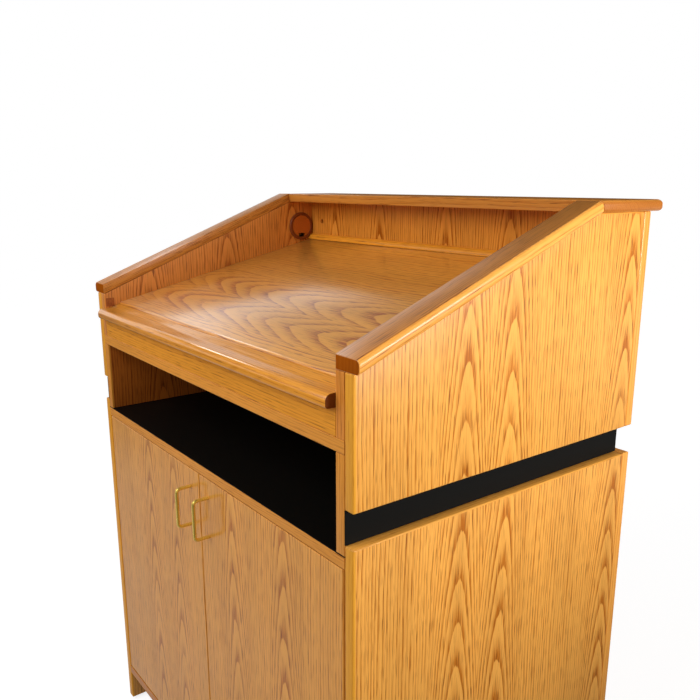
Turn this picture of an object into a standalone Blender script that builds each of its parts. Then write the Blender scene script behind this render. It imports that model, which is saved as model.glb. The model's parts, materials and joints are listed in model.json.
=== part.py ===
"""Oak lectern: a sloped desk between raised sides, an open shelf below it and a cabinet with two doors.

Metres, Z up. The speaker stands on the -Y side, the audience sits on the +Y side.
The origin is on the floor, under the middle of the whole object.
"""

import math

import bmesh
import bpy
from mathutils import Matrix, Vector

# Whole object
WIDTH = 0.9144
DEPTH = 0.6235
HEIGHT = 1.2192
BOARD = 0.01905
FIT = 0.0003
EASE = 0.0010
PANEL_EASE = 0.0022
THIN_EASE = 0.0003
CUT_PAST = 0.004

# Upper outer panels, the caps on them and the recess below them
UPPER_FRONT = 0.187
UPPER_BACK = 0.3725
REVEAL = 0.0505
BAND_THICK = 0.002
CAP_THICK = 0.019
CAP_OVERHANG = 0.012
CAP_TOP_ROUND = 0.0095
CAP_BOTTOM_ROUND = 0.0045
TOP_BOARD_DEPTH = 0.160

# Desk
DESK_SLOPE = math.radians(12.9)
DESK_SETBACK = 0.0318
CABLE_SPACE = 0.0456
DESK_STEP = 0.002
NOSE_THICK = 0.0218
NOSE_PROJECT = 0.0163
NOSE_TOP_ROUND = 0.0105
NOSE_BOTTOM_ROUND = 0.005
APRON_HEIGHT = 0.040
BEAD = 0.0105
CLEAT = 0.019
CLEAT_HEIGHT = 0.030

# Cable grommet in the left inner side, the channel behind it and the cable holes
GROMMET_HOLE = 0.030
GROMMET_FLANGE = 0.033
GROMMET_LIP = 0.006
GROMMET_CROWN = 0.003
GROMMET_WALL = 0.0035
GROMMET_SLEEVE = 0.016
GROMMET_SLOT = 0.018
GROMMET_SLOT_RISE = 0.009
GROMMET_ABOVE_DESK = 0.004
GROMMET_FROM_BACK = 0.0015
CHANNEL_PAST_PANEL = 0.012
CHANNEL_DEPTH = 0.010
CHANNEL_HEIGHT = 0.022
WIRE_HOLE = 0.0052
WIRE_HOLE_SIDE = 0.0444
WIRE_HOLE_RISE = 0.042
PASS_HOLE = 0.012

# Open compartment
OPENING_HEIGHT = 0.1442
SHELF_DROP = 0.0674
RAIL_THICK = 0.016
LAMINATE_THICK = 0.0015

# Doors, pulls and pivots
DOOR_SETBACK = 0.0005
DOOR_SEAM = 0.0024
DOOR_SIDE_GAP = 0.0042
DOOR_TOP_GAP = 0.0015
DOOR_BOTTOM_GAP = 0.0020
CABINET_GAP = 0.0025
PULL_SPAN = 0.0762
PULL_DROP = 0.0344
PULL_FROM_SEAM = 0.034
PULL_STANDOFF = 0.030
PULL_WIRE = 0.0045
PULL_BEND = 0.007
PIVOT_INSET = 0.006
PIVOT_BEHIND_FACE = 0.005
PIVOT_RADIUS = 0.002
PIVOT_BURIED = 0.012
BUSH_RADIUS = 0.0032
BUSH_FLANGE = 0.0046
CATCH_WIDTH = 0.050
CATCH_HEIGHT = 0.012
CATCH_DEPTH = 0.016
STRIKE_THICK = 0.0015
STRIKE_WIDTH = 0.018

# Cabinet shelf
SHELF_END_GAP = 0.003
SHELF_FRONT_GAP = 0.012
PIN_RADIUS = 0.0025
PIN_BURIED = 0.009
PIN_REACH = 0.010
PIN_COLLAR = 0.004
PIN_COLLAR_THICK = 0.0015
PIN_FROM_EDGE = 0.060
PIN_ROW = 0.050
PIN_ROWS = 5

# Foot
PLINTH_HEIGHT = 0.080
TOE_DEPTH = 0.065
GLIDE_HEIGHT = 0.008
GLIDE_RADIUS = 0.014
GLIDE_CHAMFER = 0.002
GLIDE_FROM_EDGE = 0.045

# Positions across the lectern
X_OUT = WIDTH / 2
X_MID = X_OUT - BOARD
X_IN = X_MID - BOARD
X_CAP = X_OUT + CAP_OVERHANG

# Positions from front to back, set so that the whole object is centred on the origin
FRONT_REACH = PULL_STANDOFF + PULL_WIRE / 2 - DOOR_SETBACK
Y_FRONT = FRONT_REACH - (FRONT_REACH + DEPTH + CAP_OVERHANG) / 2
Y_BACK = Y_FRONT + DEPTH
Y_CARCASS = Y_BACK - BOARD - FIT
Y_LINING = Y_CARCASS - BOARD
Y_BREAK = Y_BACK + CAP_OVERHANG - TOP_BOARD_DEPTH
Y_DESK = Y_FRONT + DESK_SETBACK
Y_PANEL = Y_CARCASS - CABLE_SPACE - BOARD
Y_DOOR = Y_FRONT + DOOR_SETBACK
Y_DOOR_BACK = Y_DOOR + BOARD
Y_CABINET = Y_DOOR_BACK + CABINET_GAP

# Heights above the floor
Z_CAP = HEIGHT - CAP_THICK
Z_UNDER_CAP = Z_CAP - FIT
Z_UPPER = Z_UNDER_CAP - UPPER_BACK
Z_LOWER = Z_UPPER - REVEAL
Z_SHELF = Z_UPPER - SHELF_DROP
Z_SHELF_UNDER = Z_SHELF - BOARD
Z_OPENING = Z_SHELF + OPENING_HEIGHT
Z_DECK = Z_OPENING + BOARD
Z_NOSE = Z_DECK + APRON_HEIGHT + 2 * FIT
Z_FLOOR = PLINTH_HEIGHT + BOARD
Z_DOOR_LOW = Z_FLOOR + DOOR_BOTTOM_GAP
Z_DOOR_HIGH = Z_SHELF_UNDER - DOOR_TOP_GAP
CAP_SLOPE = math.atan2(UPPER_BACK - UPPER_FRONT, Y_BREAK - Y_FRONT)

# Finishes: colour as seen, roughness, metallic
FINISHES = {
    "oak_panel": ((0.86, 0.62, 0.36), 0.32, 0.0),
    "oak_door": ((0.76, 0.56, 0.36), 0.32, 0.0),
    "oak_rail": ((0.80, 0.59, 0.33), 0.35, 0.0),
    "oak_cap": ((0.68, 0.48, 0.29), 0.30, 0.0),
    "oak_desk": ((0.80, 0.60, 0.42), 0.34, 0.0),
    "oak_inner": ((0.72, 0.50, 0.31), 0.36, 0.0),
    "oak_carcass": ((0.64, 0.45, 0.28), 0.45, 0.0),
    "black_laminate": ((0.06, 0.055, 0.05), 0.40, 0.0),
    "brown_plastic": ((0.36, 0.23, 0.15), 0.42, 0.0),
    "brass": ((0.83, 0.66, 0.36), 0.22, 1.0),
    "steel": ((0.66, 0.66, 0.67), 0.30, 1.0),
    "grey_nylon": ((0.55, 0.54, 0.52), 0.50, 0.0),
}


def to_linear(value):
    """Turn one colour value as seen into the linear value that a shader takes."""
    if value <= 0.04045:
        return value / 12.92
    return ((value + 0.055) / 1.055) ** 2.4


def finish(name):
    """Return the material of this name, made on first use."""
    found = bpy.data.materials.get(name)
    if found:
        return found
    colour, roughness, metallic = FINISHES[name]
    made = bpy.data.materials.new(name)
    made.use_nodes = True
    shader = made.node_tree.nodes["Principled BSDF"]
    rgb = [to_linear(value) for value in colour]
    shader.inputs["Base Color"].default_value = (rgb[0], rgb[1], rgb[2], 1.0)
    shader.inputs["Roughness"].default_value = roughness
    shader.inputs["Metallic"].default_value = metallic
    made.diffuse_color = (rgb[0], rgb[1], rgb[2], 1.0)
    return made


def place(name, shape, look, origin=None):
    """Turn a finished shape in world positions into an object with its origin at its middle."""
    if origin is None:
        low = Vector([min(v.co[i] for v in shape.verts) for i in range(3)])
        high = Vector([max(v.co[i] for v in shape.verts) for i in range(3)])
        origin = (low + high) / 2
    bmesh.ops.translate(shape, verts=shape.verts, vec=-Vector(origin))
    bmesh.ops.recalc_face_normals(shape, faces=shape.faces)
    mesh = bpy.data.meshes.new(name)
    shape.to_mesh(mesh)
    shape.free()
    made = bpy.data.objects.new(name, mesh)
    made.location = origin
    if look:
        mesh.materials.append(finish(look))
    bpy.context.scene.collection.objects.link(made)
    return made


def ease(made, width):
    """Break the sharp edges of a board."""
    bevel = made.modifiers.new("eased_edges", "BEVEL")
    bevel.width = width
    bevel.segments = 2
    bevel.limit_method = "ANGLE"
    return made


def smooth(made):
    """Shade the round sides of a turned piece smoothly, and leave its flat ends flat."""
    made.data.shade_smooth()
    made.data.set_sharp_from_angle(angle=math.radians(40))
    return made


def prism_shape(outline, across):
    """Sweep a closed outline of (y, z) points along X."""
    shape = bmesh.new()
    ends = [[shape.verts.new((x, y, z)) for y, z in outline] for x in across]
    count = len(outline)
    shape.faces.new(ends[0])
    shape.faces.new(list(reversed(ends[1])))
    for i in range(count):
        j = (i + 1) % count
        shape.faces.new((ends[0][i], ends[1][i], ends[1][j], ends[0][j]))
    bmesh.ops.recalc_face_normals(shape, faces=shape.faces)
    return shape


def prism(name, outline, across, look, edge=EASE):
    """Make a board from a side outline swept across X."""
    return ease(place(name, prism_shape(outline, across), look), edge)


def board(name, x, y, z, look, edge=EASE):
    """Make a square-edged board between pairs of positions."""
    outline = [(y[0], z[0]), (y[1], z[0]), (y[1], z[1]), (y[0], z[1])]
    return prism(name, outline, x, look, edge)


def round_over(shape, chosen, radius, steps=5):
    """Round the edges whose two ends both pass the test."""
    edges = [e for e in shape.edges if all(chosen(v.co) for v in e.verts)]
    bmesh.ops.bevel(shape, geom=edges, offset=radius, segments=steps, profile=0.5, affect="EDGES")


def turned_shape(shape, profile, centre, axis, steps=24):
    """Add a turned body to a shape: (radius, height) points, closed on the axis where the radius is 0."""
    turn = Vector((0, 0, 1)).rotation_difference(Vector(axis)).to_matrix().to_4x4()
    frame = Matrix.Translation(Vector(centre)) @ turn
    rings = []
    for radius, height in profile:
        if radius == 0:
            rings.append([shape.verts.new(frame @ Vector((0, 0, height)))])
            continue
        ring = []
        for i in range(steps):
            angle = 2 * math.pi * i / steps
            point = Vector((radius * math.cos(angle), radius * math.sin(angle), height))
            ring.append(shape.verts.new(frame @ point))
        rings.append(ring)
    hollow = profile[0][0] > 0
    pairs = list(zip(rings, rings[1:]))
    if hollow:
        pairs.append((rings[-1], rings[0]))
    for low, high in pairs:
        for i in range(steps):
            j = (i + 1) % steps
            corners = [low[i % len(low)], low[j % len(low)], high[j % len(high)], high[i % len(high)]]
            shape.faces.new(list(dict.fromkeys(corners)))
    bmesh.ops.recalc_face_normals(shape, faces=shape.faces)


def turned(name, profile, centre, axis, look, steps=24):
    """Make one turned piece."""
    shape = bmesh.new()
    turned_shape(shape, profile, centre, axis, steps)
    return smooth(place(name, shape, look))


def cut(target, shape):
    """Cut a shape out of a piece."""
    tool = place(target.name + "_cutter", shape, None)
    tool.hide_render = True
    tool.display_type = "WIRE"
    opening = target.modifiers.new("opening", "BOOLEAN")
    opening.operation = "DIFFERENCE"
    opening.solver = "EXACT"
    opening.object = tool


def bore(target, holes, steps=20):
    """Drill round holes, each given as its mouth, the direction inwards, its radius and its depth."""
    shape = bmesh.new()
    for mouth, inwards, radius, depth in holes:
        profile = [(0, -CUT_PAST), (radius, -CUT_PAST), (radius, depth), (0, depth)]
        turned_shape(shape, profile, mouth, inwards, steps)
    cut(target, shape)


def slot(target, x, y, z):
    """Cut a square pocket between pairs of positions."""
    outline = [(y[0], z[0]), (y[1], z[0]), (y[1], z[1]), (y[0], z[1])]
    cut(target, prism_shape(outline, x))


def hang(made, carrier):
    """Fix a piece to the empty that it turns with."""
    made.location = made.location - carrier.location
    made.parent = carrier
    return made


def sides():
    """Yield each side's name and its direction along X."""
    return (("left", -1), ("right", 1))


def span(side, near, far):
    """Return a low and high pair along X for two distances from the middle."""
    return (near, far) if side > 0 else (-far, -near)


def desk_height(y):
    """Return the height of the reading surface at a depth."""
    return Z_NOSE + NOSE_THICK + DESK_STEP + math.tan(DESK_SLOPE) * (y - Y_FRONT)


def raised_outline(low, back):
    """Return the side outline of a board whose top follows the slope and then the flat top board."""
    high = Z_UPPER + UPPER_BACK
    return [(Y_FRONT, low), (back, low), (back, high), (Y_BREAK, high), (Y_FRONT, Z_UPPER + UPPER_FRONT)]


def build_cladding():
    """Outer panels, the recess between them and its black bands."""
    back = Y_BACK - BOARD - FIT
    for name, side in sides():
        layer = span(side, X_MID, X_OUT)
        prism("upper_side_panel_" + name, raised_outline(Z_UPPER, back), layer, "oak_panel", PANEL_EASE)
        board("lower_side_panel_" + name, layer, (Y_FRONT, back), (GLIDE_HEIGHT, Z_LOWER),
              "oak_panel", PANEL_EASE)
        board("reveal_band_" + name, span(side, X_MID, X_MID + BAND_THICK), (Y_FRONT, Y_CARCASS),
              (Z_LOWER + FIT, Z_UPPER - FIT), "black_laminate", THIN_EASE)
    full = (-X_OUT, X_OUT)
    layer = (Y_BACK - BOARD, Y_BACK)
    board("upper_audience_panel", full, layer, (Z_UPPER, Z_UNDER_CAP), "oak_panel", PANEL_EASE)
    board("lower_audience_panel", full, layer, (GLIDE_HEIGHT, Z_LOWER), "oak_panel", PANEL_EASE)
    reach = X_MID + BAND_THICK
    board("reveal_band_audience", (-reach, reach), (Y_CARCASS + FIT, Y_CARCASS + FIT + BAND_THICK),
          (Z_LOWER + FIT, Z_UPPER - FIT), "black_laminate", THIN_EASE)


def build_caps():
    """Sloped side caps and the flat top board, mitred where they meet."""
    lean = CAP_THICK * math.tan(CAP_SLOPE / 2)
    rise = CAP_THICK / math.cos(CAP_SLOPE)
    low = Z_UPPER + UPPER_FRONT + FIT
    joint = Y_BREAK - FIT
    outline = [(Y_FRONT, low), (joint, Z_CAP), (joint - lean, HEIGHT), (Y_FRONT, low + rise)]
    for name, side in sides():
        shape = prism_shape(outline, span(side, X_IN, X_CAP))
        edge = side * X_CAP

        def on_edge(point):
            return abs(point.x - edge) < 1e-6

        def above(point):
            return point.z - low - math.tan(CAP_SLOPE) * (point.y - Y_FRONT) > CAP_THICK / 2

        round_over(shape, lambda p: on_edge(p) and above(p), CAP_TOP_ROUND)
        round_over(shape, lambda p: on_edge(p) and not above(p), CAP_BOTTOM_ROUND)
        ease(place("side_cap_" + name, shape, "oak_cap"), EASE)

    far = Y_BACK + CAP_OVERHANG
    outline = [(Y_BREAK, Z_CAP), (far, Z_CAP), (far, HEIGHT), (Y_BREAK - lean, HEIGHT)]
    shape = prism_shape(outline, (-X_CAP, X_CAP))
    for height, radius in ((HEIGHT, CAP_TOP_ROUND), (Z_CAP, CAP_BOTTOM_ROUND)):
        rim = []
        for line in shape.edges:
            level = all(abs(v.co.z - height) < 1e-6 for v in line.verts)
            at_end = all(abs(v.co.x) > X_CAP - 1e-6 for v in line.verts)
            at_back = all(v.co.y > far - 1e-6 for v in line.verts)
            if level and (at_back or at_end) and not all(v.co.y < Y_BREAK + 1e-6 for v in line.verts):
                rim.append(line)
        bmesh.ops.bevel(shape, geom=rim, offset=radius, segments=5, profile=0.5, affect="EDGES")
    ease(place("top_board", shape, "oak_cap"), EASE)


def build_desk():
    """Inner sides, reading surface, nosing, apron and the panel behind the desk."""
    inner = (-X_IN + FIT, X_IN - FIT)
    for name, side in sides():
        prism("desk_side_" + name, raised_outline(Z_DECK + FIT, Y_CARCASS),
              span(side, X_IN, X_MID - FIT), "oak_inner")

    drop = BOARD / math.cos(DESK_SLOPE)
    far = Y_PANEL - FIT
    outline = [(Y_DESK, desk_height(Y_DESK) - drop), (far, desk_height(far) - drop),
               (far, desk_height(far)), (Y_DESK, desk_height(Y_DESK))]
    prism("desk_board", outline, inner, "oak_desk")
    for name, side in sides():
        under = drop + FIT
        near = Y_DESK + CLEAT
        reach = far - CLEAT
        outline = [(near, desk_height(near) - under - CLEAT_HEIGHT),
                   (reach, desk_height(reach) - under - CLEAT_HEIGHT),
                   (reach, desk_height(reach) - under), (near, desk_height(near) - under)]
        prism("desk_cleat_" + name, outline, span(side, X_IN - FIT - CLEAT, X_IN - FIT), "oak_carcass")

    tip = Y_FRONT - NOSE_PROJECT
    heel = Y_DESK - FIT
    outline = [(tip, Z_NOSE), (heel, Z_NOSE), (heel, desk_height(heel) - DESK_STEP),
               (tip, desk_height(tip) - DESK_STEP)]
    shape = prism_shape(outline, inner)
    top = desk_height(tip) - DESK_STEP
    round_over(shape, lambda p: p.y < tip + 1e-6 and p.z > top - 1e-6, NOSE_TOP_ROUND)
    round_over(shape, lambda p: p.y < tip + 1e-6 and p.z < Z_NOSE + 1e-6, NOSE_BOTTOM_ROUND)
    ease(place("desk_nosing", shape, "oak_cap"), EASE)
    board("desk_apron", inner, (Y_FRONT, Y_FRONT + BOARD), (Z_DECK + FIT, Z_NOSE - FIT), "oak_rail")

    back = board("desk_back_panel", inner, (Y_PANEL, Y_PANEL + BOARD),
                 (Z_DECK + FIT, Z_UNDER_CAP), "oak_inner")
    mouth = (-X_IN + WIRE_HOLE_SIDE, Y_PANEL, desk_height(Y_PANEL) + WIRE_HOLE_RISE)
    bore(back, [(mouth, (0, 1, 0), WIRE_HOLE, BOARD + CUT_PAST)])
    corner = (far, desk_height(far) + FIT)
    outline = [corner]
    for i in range(7):
        angle = math.pi / 2 + (math.pi / 2 + DESK_SLOPE) * i / 6
        outline.append((corner[0] + BEAD * math.cos(angle), corner[1] + BEAD * math.sin(angle)))
    place("desk_back_bead", prism_shape(outline, inner), "oak_cap")


def build_grommet():
    """Cable grommet in the left inner side, with a channel behind it to the space at the back."""
    y = Y_PANEL - GROMMET_FLANGE - GROMMET_FROM_BACK
    z = desk_height(y) + (GROMMET_FLANGE + GROMMET_ABOVE_DESK) / math.cos(DESK_SLOPE)
    face = -X_IN
    side = bpy.data.objects["desk_side_left"]
    bore(side, [((face, y, z), (-1, 0, 0), GROMMET_HOLE, BOARD + CUT_PAST)], 40)
    way_out = Y_PANEL + BOARD + CHANNEL_PAST_PANEL
    half = CHANNEL_HEIGHT / 2
    outer = -X_MID + FIT
    slot(side, (outer - CUT_PAST, outer + CHANNEL_DEPTH), (y, way_out + CHANNEL_HEIGHT), (z - half, z + half))
    slot(side, (outer + CHANNEL_DEPTH / 2, face + CUT_PAST), (way_out, way_out + CHANNEL_HEIGHT),
         (z - half, z + half))

    tube = GROMMET_HOLE - FIT
    bore_radius = tube - GROMMET_WALL
    profile = [(tube, -GROMMET_SLEEVE), (tube, FIT), (GROMMET_FLANGE, FIT),
               (GROMMET_FLANGE, GROMMET_LIP - GROMMET_CROWN),
               (GROMMET_FLANGE - GROMMET_CROWN * 0.3, GROMMET_LIP - GROMMET_CROWN * 0.3),
               (GROMMET_FLANGE - GROMMET_CROWN, GROMMET_LIP),
               (bore_radius, GROMMET_LIP), (bore_radius, -GROMMET_SLEEVE)]
    turned("cable_grommet_ring", profile, (face, y, z), (1, 0, 0), "brown_plastic", 40)

    radius = bore_radius - FIT
    half = GROMMET_SLOT / 2
    start = -math.pi / 2 + math.asin(half / radius)
    sweep = 2 * math.pi - 2 * math.asin(half / radius)
    outline = []
    for i in range(37):
        angle = start + sweep * i / 36
        outline.append((y + radius * math.cos(angle), z + radius * math.sin(angle)))
    floor = z - radius + GROMMET_SLOT_RISE
    outline += [(y - half, floor), (y + half, floor)]
    place("cable_grommet_cap", prism_shape(outline, (face, face + GROMMET_LIP)), "brown_plastic")


def build_compartment():
    """Open compartment: its top, black shelf with a lip over an oak edge rail, sides and black back."""
    wide = (-X_MID + FIT, X_MID - FIT)
    tall = (Z_SHELF + FIT, Z_OPENING - FIT)
    deck = board("compartment_top", wide, (Y_FRONT, Y_CARCASS), (Z_OPENING, Z_DECK), "oak_rail")
    behind = (Y_PANEL + BOARD + Y_LINING) / 2
    bore(deck, [((-X_IN + WIRE_HOLE_SIDE, behind, Z_DECK), (0, 0, -1), PASS_HOLE, BOARD + CUT_PAST)])
    lip = Z_SHELF - LAMINATE_THICK
    board("shelf_edge_rail", wide, (Y_FRONT, Y_FRONT + RAIL_THICK), (Z_SHELF_UNDER, lip - FIT), "oak_rail")
    core = Y_FRONT + RAIL_THICK + FIT
    outline = [(core, Z_SHELF_UNDER), (Y_CARCASS, Z_SHELF_UNDER), (Y_CARCASS, Z_SHELF),
               (Y_FRONT, Z_SHELF), (Y_FRONT, lip), (core, lip)]
    prism("compartment_shelf", outline, wide, "black_laminate", THIN_EASE)
    for name, side in sides():
        board("compartment_side_" + name, span(side, X_IN, X_MID - FIT), (Y_FRONT, Y_LINING - FIT), tall,
              "oak_carcass")
    board("compartment_back", wide, (Y_LINING, Y_CARCASS), tall, "black_laminate")


def build_cabinet():
    """Cabinet behind the doors, its loose shelf on four pins, the plinth and the glides."""
    wide = (-X_MID + FIT, X_MID - FIT)
    tall = (Z_FLOOR + FIT, Z_SHELF_UNDER - FIT)
    board("cabinet_bottom", wide, (Y_FRONT, Y_CARCASS), (PLINTH_HEIGHT, Z_FLOOR), "oak_rail")
    board("cabinet_back", wide, (Y_LINING, Y_CARCASS), tall, "oak_carcass")

    middle = (tall[0] + tall[1]) / 2
    columns = (("front", Y_CABINET + PIN_FROM_EDGE), ("back", Y_LINING - PIN_FROM_EDGE))
    for name, side in sides():
        wall = board("cabinet_side_" + name, span(side, X_IN, X_MID - FIT), (Y_CABINET, Y_LINING - FIT),
                     tall, "oak_carcass")
        face = side * X_IN
        holes = []
        for place_name, y in columns:
            for row in range(PIN_ROWS):
                z = middle + PIN_ROW * (row - (PIN_ROWS - 1) / 2)
                holes.append(((face, y, z), (side, 0, 0), PIN_RADIUS + FIT, PIN_BURIED + FIT))
            profile = [(0, -PIN_BURIED), (PIN_RADIUS, -PIN_BURIED), (PIN_RADIUS, FIT), (PIN_COLLAR, FIT),
                       (PIN_COLLAR, FIT + PIN_COLLAR_THICK), (PIN_RADIUS, FIT + PIN_COLLAR_THICK),
                       (PIN_RADIUS, PIN_REACH), (0, PIN_REACH)]
            turned("shelf_pin_%s_%s" % (place_name, name), profile, (face, y, middle), (-side, 0, 0),
                   "steel", 16)
        bore(wall, holes, 12)

    end = X_IN - SHELF_END_GAP
    low = middle + PIN_RADIUS + FIT
    board("cabinet_shelf", (-end, end), (Y_CABINET + SHELF_FRONT_GAP, Y_LINING - SHELF_END_GAP),
          (low, low + BOARD), "oak_rail")

    toe = Y_FRONT + TOE_DEPTH
    low = GLIDE_HEIGHT
    high = PLINTH_HEIGHT - FIT
    board("plinth_front", wide, (toe, toe + BOARD), (low, high), "black_laminate")
    for name, side in sides():
        board("plinth_" + name, span(side, X_IN, X_MID - FIT), (toe + BOARD + FIT, Y_CARCASS), (low, high),
              "oak_carcass")
        for place_name, y in (("front", toe + GLIDE_FROM_EDGE), ("back", Y_BACK - GLIDE_FROM_EDGE)):
            top = GLIDE_HEIGHT - FIT
            profile = [(0, 0), (GLIDE_RADIUS - GLIDE_CHAMFER, 0), (GLIDE_RADIUS, GLIDE_CHAMFER),
                       (GLIDE_RADIUS, top), (0, top)]
            turned("glide_%s_%s" % (place_name, name), profile, (side * X_MID, y, 0), (0, 0, 1),
                   "grey_nylon")


def build_pull(name, x, carrier):
    """Bent wire pull between two posts."""
    high = Z_DOOR_HIGH - PULL_DROP
    foot = Y_DOOR - FIT
    bar = Y_DOOR - PULL_STANDOFF
    path = [(foot, high)]
    for i in range(7):
        angle = math.pi / 2 * i / 6
        path.append((bar + PULL_BEND * (1 - math.sin(angle)), high - PULL_BEND * (1 - math.cos(angle))))
    path += [(y, 2 * high - PULL_SPAN - z) for y, z in reversed(path)]
    line = bpy.data.curves.new(name, "CURVE")
    line.dimensions = "3D"
    line.bevel_depth = PULL_WIRE / 2
    line.bevel_resolution = 3
    line.use_fill_caps = True
    spline = line.splines.new("POLY")
    spline.points.add(len(path) - 1)
    middle = high - PULL_SPAN / 2
    for point, (y, z) in zip(spline.points, path):
        point.co = (0, y - foot, z - middle, 1)
    line.materials.append(finish("brass"))
    made = bpy.data.objects.new(name, line)
    made.location = (x, foot, middle)
    bpy.context.scene.collection.objects.link(made)
    return hang(made, carrier)


def build_doors():
    """Doors on hidden pivots, with their pulls, bushes, strike plates and the catch between them."""
    rail = bpy.data.objects["shelf_edge_rail"]
    floor = bpy.data.objects["cabinet_bottom"]
    y = Y_DOOR + PIVOT_BEHIND_FACE
    edge = X_MID - DOOR_SIDE_GAP
    above = []
    below = []
    for name, side in sides():
        x = side * (edge - PIVOT_INSET)
        carrier = bpy.data.objects.new("door_axis_" + name, None)
        carrier.location = (x, y, Z_DOOR_LOW)
        bpy.context.scene.collection.objects.link(carrier)
        door = board("door_" + name, span(side, DOOR_SEAM / 2, edge), (Y_DOOR, Y_DOOR_BACK),
                     (Z_DOOR_LOW, Z_DOOR_HIGH), "oak_door", PANEL_EASE)
        seat = PIVOT_BURIED + FIT
        bore(door, [((x, y, Z_DOOR_HIGH), (0, 0, -1), PIVOT_RADIUS + FIT, seat),
                    ((x, y, Z_DOOR_LOW), (0, 0, 1), BUSH_RADIUS + FIT, seat)])
        hang(door, carrier)
        above.append(((x, y, Z_SHELF_UNDER), (0, 0, 1), PIVOT_RADIUS + FIT, seat))
        below.append(((x, y, Z_FLOOR), (0, 0, -1), PIVOT_RADIUS + FIT, seat))

        ends = (("upper", Z_DOOR_HIGH - PIVOT_BURIED, Z_SHELF_UNDER + PIVOT_BURIED),
                ("lower", Z_FLOOR - PIVOT_BURIED, Z_DOOR_LOW + PIVOT_BURIED - FIT))
        for end, low, high in ends:
            profile = [(0, 0), (PIVOT_RADIUS, 0), (PIVOT_RADIUS, high - low), (0, high - low)]
            turned("pivot_pin_%s_%s" % (end, name), profile, (x, y, low), (0, 0, 1), "steel", 20)
        hole = PIVOT_RADIUS + FIT
        profile = [(hole, FIT - DOOR_BOTTOM_GAP), (BUSH_FLANGE, FIT - DOOR_BOTTOM_GAP), (BUSH_FLANGE, -FIT),
                   (BUSH_RADIUS, -FIT), (BUSH_RADIUS, PIVOT_BURIED - FIT), (hole, PIVOT_BURIED - FIT)]
        bush = turned("pivot_bush_" + name, profile, (x, y, Z_DOOR_LOW), (0, 0, 1), "brass", 20)
        hang(bush, carrier)

        near = CATCH_WIDTH / 2 - STRIKE_WIDTH
        strike = board("strike_plate_" + name, span(side, near, near + STRIKE_WIDTH),
                       (Y_DOOR_BACK + FIT, Y_DOOR_BACK + FIT + STRIKE_THICK),
                       (Z_DOOR_HIGH - CATCH_HEIGHT, Z_DOOR_HIGH - EASE), "steel", THIN_EASE)
        hang(strike, carrier)
        build_pull("pull_" + name, side * PULL_FROM_SEAM, carrier)
    bore(rail, above)
    bore(floor, below)
    face = Y_DOOR_BACK + STRIKE_THICK + 2 * FIT
    top = Z_SHELF_UNDER - FIT
    board("door_catch", (-CATCH_WIDTH / 2, CATCH_WIDTH / 2), (face, face + CATCH_DEPTH),
          (top - CATCH_HEIGHT, top), "grey_nylon")


def main():
    """Build the whole lectern."""
    for old in list(bpy.data.objects):
        bpy.data.objects.remove(old, do_unlink=True)
    build_cladding()
    build_caps()
    build_desk()
    build_grommet()
    build_compartment()
    build_cabinet()
    build_doors()


main()
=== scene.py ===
"""Looks of an oak lectern: finer woodwork, lacquered oak figure, brass pulls and the studio around it.

Metres, Z up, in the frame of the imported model. The speaker stands on the -Y side.
"""

import json
import logging
import math
from dataclasses import dataclass
from enum import Enum
from typing import Any, Callable, Dict, Optional, Sequence, Tuple, Union

import bmesh
import bpy
from mathutils import Color, Matrix, Vector

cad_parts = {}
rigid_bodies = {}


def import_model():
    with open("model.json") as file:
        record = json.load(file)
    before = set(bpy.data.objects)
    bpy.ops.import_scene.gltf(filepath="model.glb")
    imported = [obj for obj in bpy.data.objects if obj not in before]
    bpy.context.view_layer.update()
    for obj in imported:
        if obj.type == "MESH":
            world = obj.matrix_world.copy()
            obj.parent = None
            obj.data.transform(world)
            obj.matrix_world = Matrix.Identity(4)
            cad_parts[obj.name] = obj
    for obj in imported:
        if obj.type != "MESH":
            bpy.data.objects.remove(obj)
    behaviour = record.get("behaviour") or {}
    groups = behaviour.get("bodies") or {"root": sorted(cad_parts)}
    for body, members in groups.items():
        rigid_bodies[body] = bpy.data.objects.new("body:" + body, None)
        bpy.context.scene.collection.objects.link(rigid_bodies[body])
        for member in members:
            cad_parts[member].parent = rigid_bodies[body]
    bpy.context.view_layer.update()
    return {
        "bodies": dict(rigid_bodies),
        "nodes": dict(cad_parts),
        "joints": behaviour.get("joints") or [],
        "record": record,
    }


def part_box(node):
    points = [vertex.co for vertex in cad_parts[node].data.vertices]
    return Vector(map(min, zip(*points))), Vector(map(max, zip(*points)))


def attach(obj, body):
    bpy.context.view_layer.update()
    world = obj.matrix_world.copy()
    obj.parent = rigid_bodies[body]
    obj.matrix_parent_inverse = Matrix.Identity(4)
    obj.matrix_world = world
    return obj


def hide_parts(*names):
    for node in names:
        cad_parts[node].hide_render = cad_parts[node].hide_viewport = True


LOG = logging.getLogger("lectern")
CARCASS = "carcass"
TINY = 1e-5
SATIN = 0.12
WHITE = (1.0, 1.0, 1.0, 1.0)

Point = Tuple[float, float, float]
Colour = Tuple[float, float, float]
Shades = Tuple[Colour, Colour, Colour]
Pair = Tuple[float, float]
Round = Tuple[float, int]
Steps = Tuple[float, ...]
Node = bpy.types.Node
Socket = bpy.types.NodeSocket
Feed = Union[float, Sequence[float], Socket]
Test = Callable[[Vector], bool]


def linear(colour: Colour) -> Tuple[float, ...]:
    """Return the linear colour, with a full alpha, of a colour as seen on a screen, 0 to 255."""
    return (*Color([part / 255 for part in colour]).from_srgb_to_scene_linear(), 1.0)


def anywhere(_: Vector) -> bool:
    """Pass every point."""
    return True


def nowhere(_: Vector) -> bool:
    """Pass no point."""
    return False


def at(**place: float) -> Test:
    """Return a test for points that lie at a place on the named axes."""
    return lambda p: all(abs(getattr(p, axis) - value) < TINY for axis, value in place.items())


def clear() -> None:
    """Select nothing."""
    bpy.ops.object.select_all(action="DESELECT")


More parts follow.
